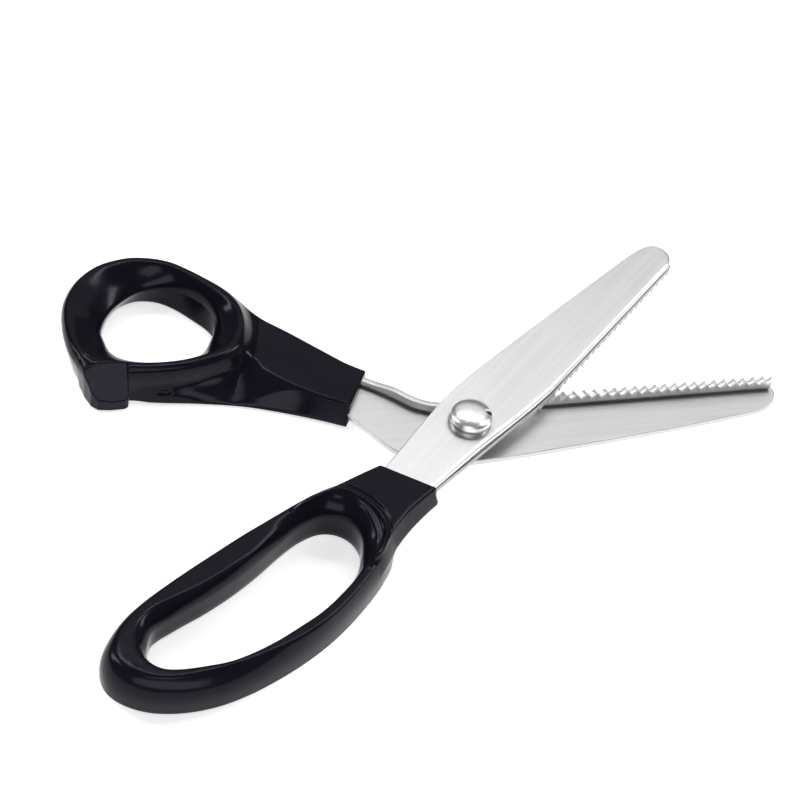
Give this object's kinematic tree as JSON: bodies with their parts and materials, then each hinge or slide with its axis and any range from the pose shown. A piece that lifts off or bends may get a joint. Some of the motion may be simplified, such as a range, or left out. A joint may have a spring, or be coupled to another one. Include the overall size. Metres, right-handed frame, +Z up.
{
  "type": "pinking shears",
  "caption": "Open pinking shears: flat steel blade halves with standing zigzag-toothed rails turn on a domed screw, each with a glossy moulded finger bow.",
  "frame": {"origin": "centre of the bounding box at its underside, the surface the shears lie on, with the blades at the rest opening", "axes": "+Z up, out of the front blade's outer face and along the pivot axis; +X from the handles towards the blade tips, the longest side of the bounding box; +Y across, towards the front blade's tip"},
  "size_m": [0.2102, 0.1896, 0.019],
  "materials": {
    "blade_steel": "satin, grained along the blade",
    "rail_steel": "machined, bright tooth flanks",
    "screw_steel": "polished",
    "handle_black": "glossy moulded black",
    "washer_brass": "satin"
  },
  "bodies": {
    "back_half": {"back_blade_plate": "blade_steel", "back_toothed_rail": "rail_steel", "thumb_handle": "handle_black", "back_thrust_washer": "washer_brass", "pivot_sleeve": "screw_steel", "pivot_screw": "screw_steel", "head_washer": "screw_steel", "spring_washer": "screw_steel", "lock_nut": "screw_steel"},
    "front_half": {"front_blade_plate": "blade_steel", "front_toothed_rail": "rail_steel", "finger_handle": "handle_black", "front_thrust_washer": "washer_brass"}
  },
  "joints": [
    {"name": "blade_pivot", "type": "hinge", "parent": "back_half", "child": "front_half", "pos_m": [0.01659, 0.0119, 0.0086], "axis": [0, 0, 1], "range_deg": [-37.5, 17]}
  ]
}
